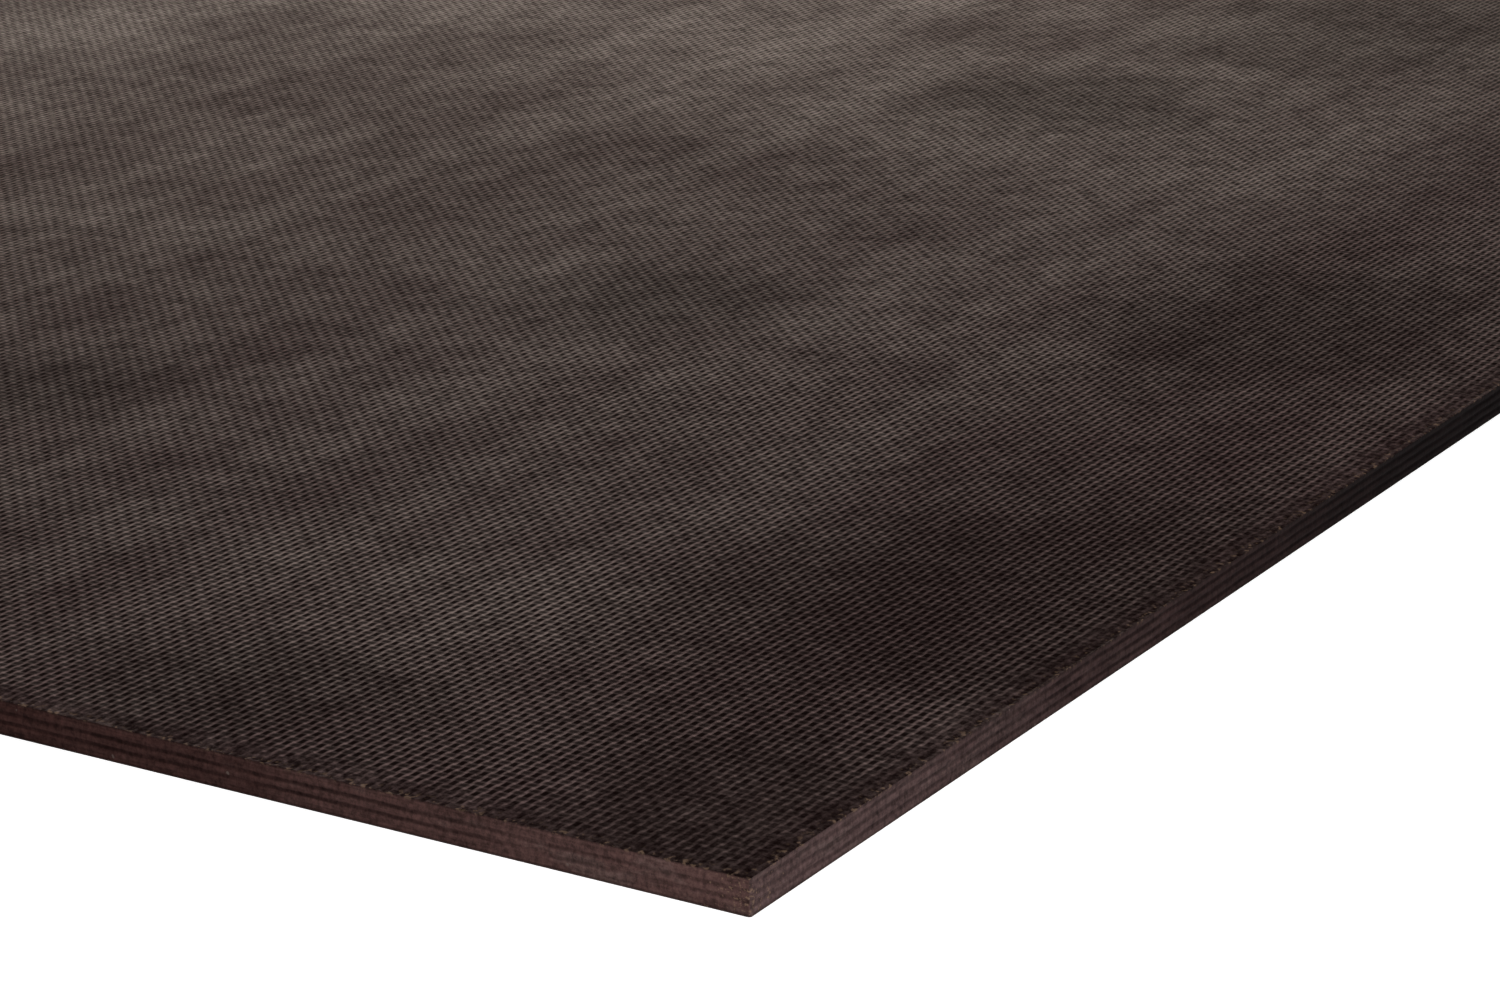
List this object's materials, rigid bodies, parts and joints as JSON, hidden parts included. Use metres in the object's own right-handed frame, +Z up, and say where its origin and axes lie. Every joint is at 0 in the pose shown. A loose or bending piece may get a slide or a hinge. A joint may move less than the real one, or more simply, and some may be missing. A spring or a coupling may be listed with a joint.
{
  "type": "plywood sheet",
  "caption": "Thin rectangular plywood sheet with a hard film on both faces, an embossed wire-mesh grip pattern on top and painted edges.",
  "frame": {"origin": "middle of the underside", "axes": "+Z up out of the patterned face, +Y along the sheet and the grain of its outer veneers, +X across it"},
  "size_m": [1.25, 2.5, 0.009],
  "materials": {
    "film": "dark brown resin film, embossed and satin on top, smooth below",
    "edge_paint": "dark red-brown sealing paint over sawn veneers, matt"
  },
  "bodies": {
    "root": {"plywood_sheet": "film"}
  },
  "joints": []
}
